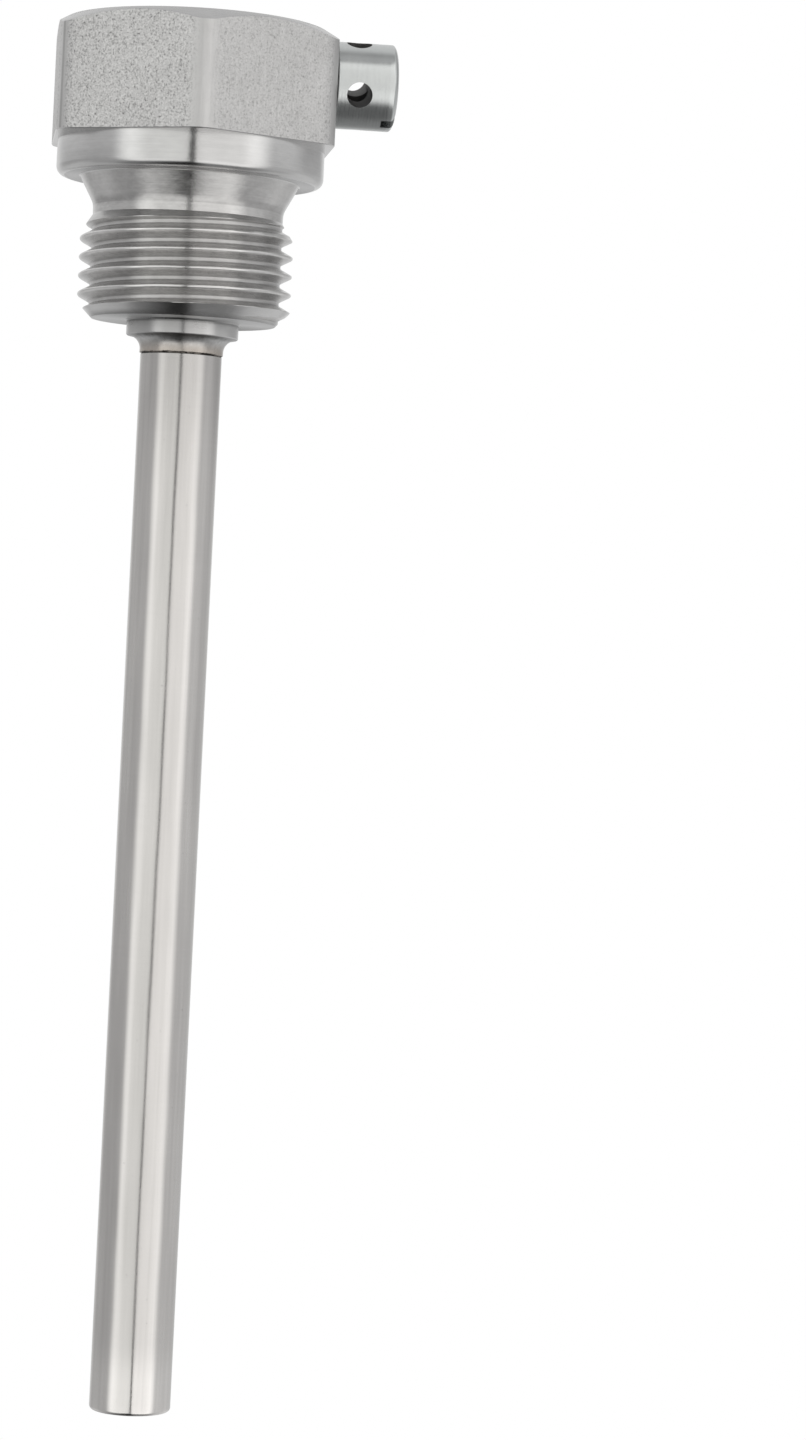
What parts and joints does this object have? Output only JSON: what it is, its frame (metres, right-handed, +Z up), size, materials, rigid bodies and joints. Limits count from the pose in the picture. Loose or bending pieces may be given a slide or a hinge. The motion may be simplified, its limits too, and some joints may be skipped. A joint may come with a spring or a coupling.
{
  "type": "thermowell",
  "caption": "Screw-in thermowell: hexagon head with a sealing collar and parallel pipe thread, a long closed tube welded under it, and a cross-drilled clamp screw in the hexagon's side.",
  "frame": {"origin": "centre of the sealing seat, on the axis, in the plane of the collar's lower face", "axes": "+Z up the axis towards the open socket in the hexagon, +X outwards along the clamp screw"},
  "size_m": [0.0334, 0.0304, 0.1362],
  "materials": {
    "turned_steel": "turned stainless steel; the hexagon's flats keep the bar's matt, pitted skin",
    "tube_steel": "drawn and ground stainless steel tube, satin",
    "screw_zinc": "satin, bluish zinc or nickel finish"
  },
  "bodies": {
    "pocket": {"hex_fitting": "turned_steel", "well_tube": "tube_steel", "tip_plug": "tube_steel"},
    "clamp_screw": {"clamp_screw": "screw_zinc"}
  },
  "joints": [
    {"name": "clamp_screw_travel", "type": "slide", "parent": "pocket", "child": "clamp_screw", "axis": [1, 0, 0], "range_m": [-0.0002, 0.004]}
  ]
}
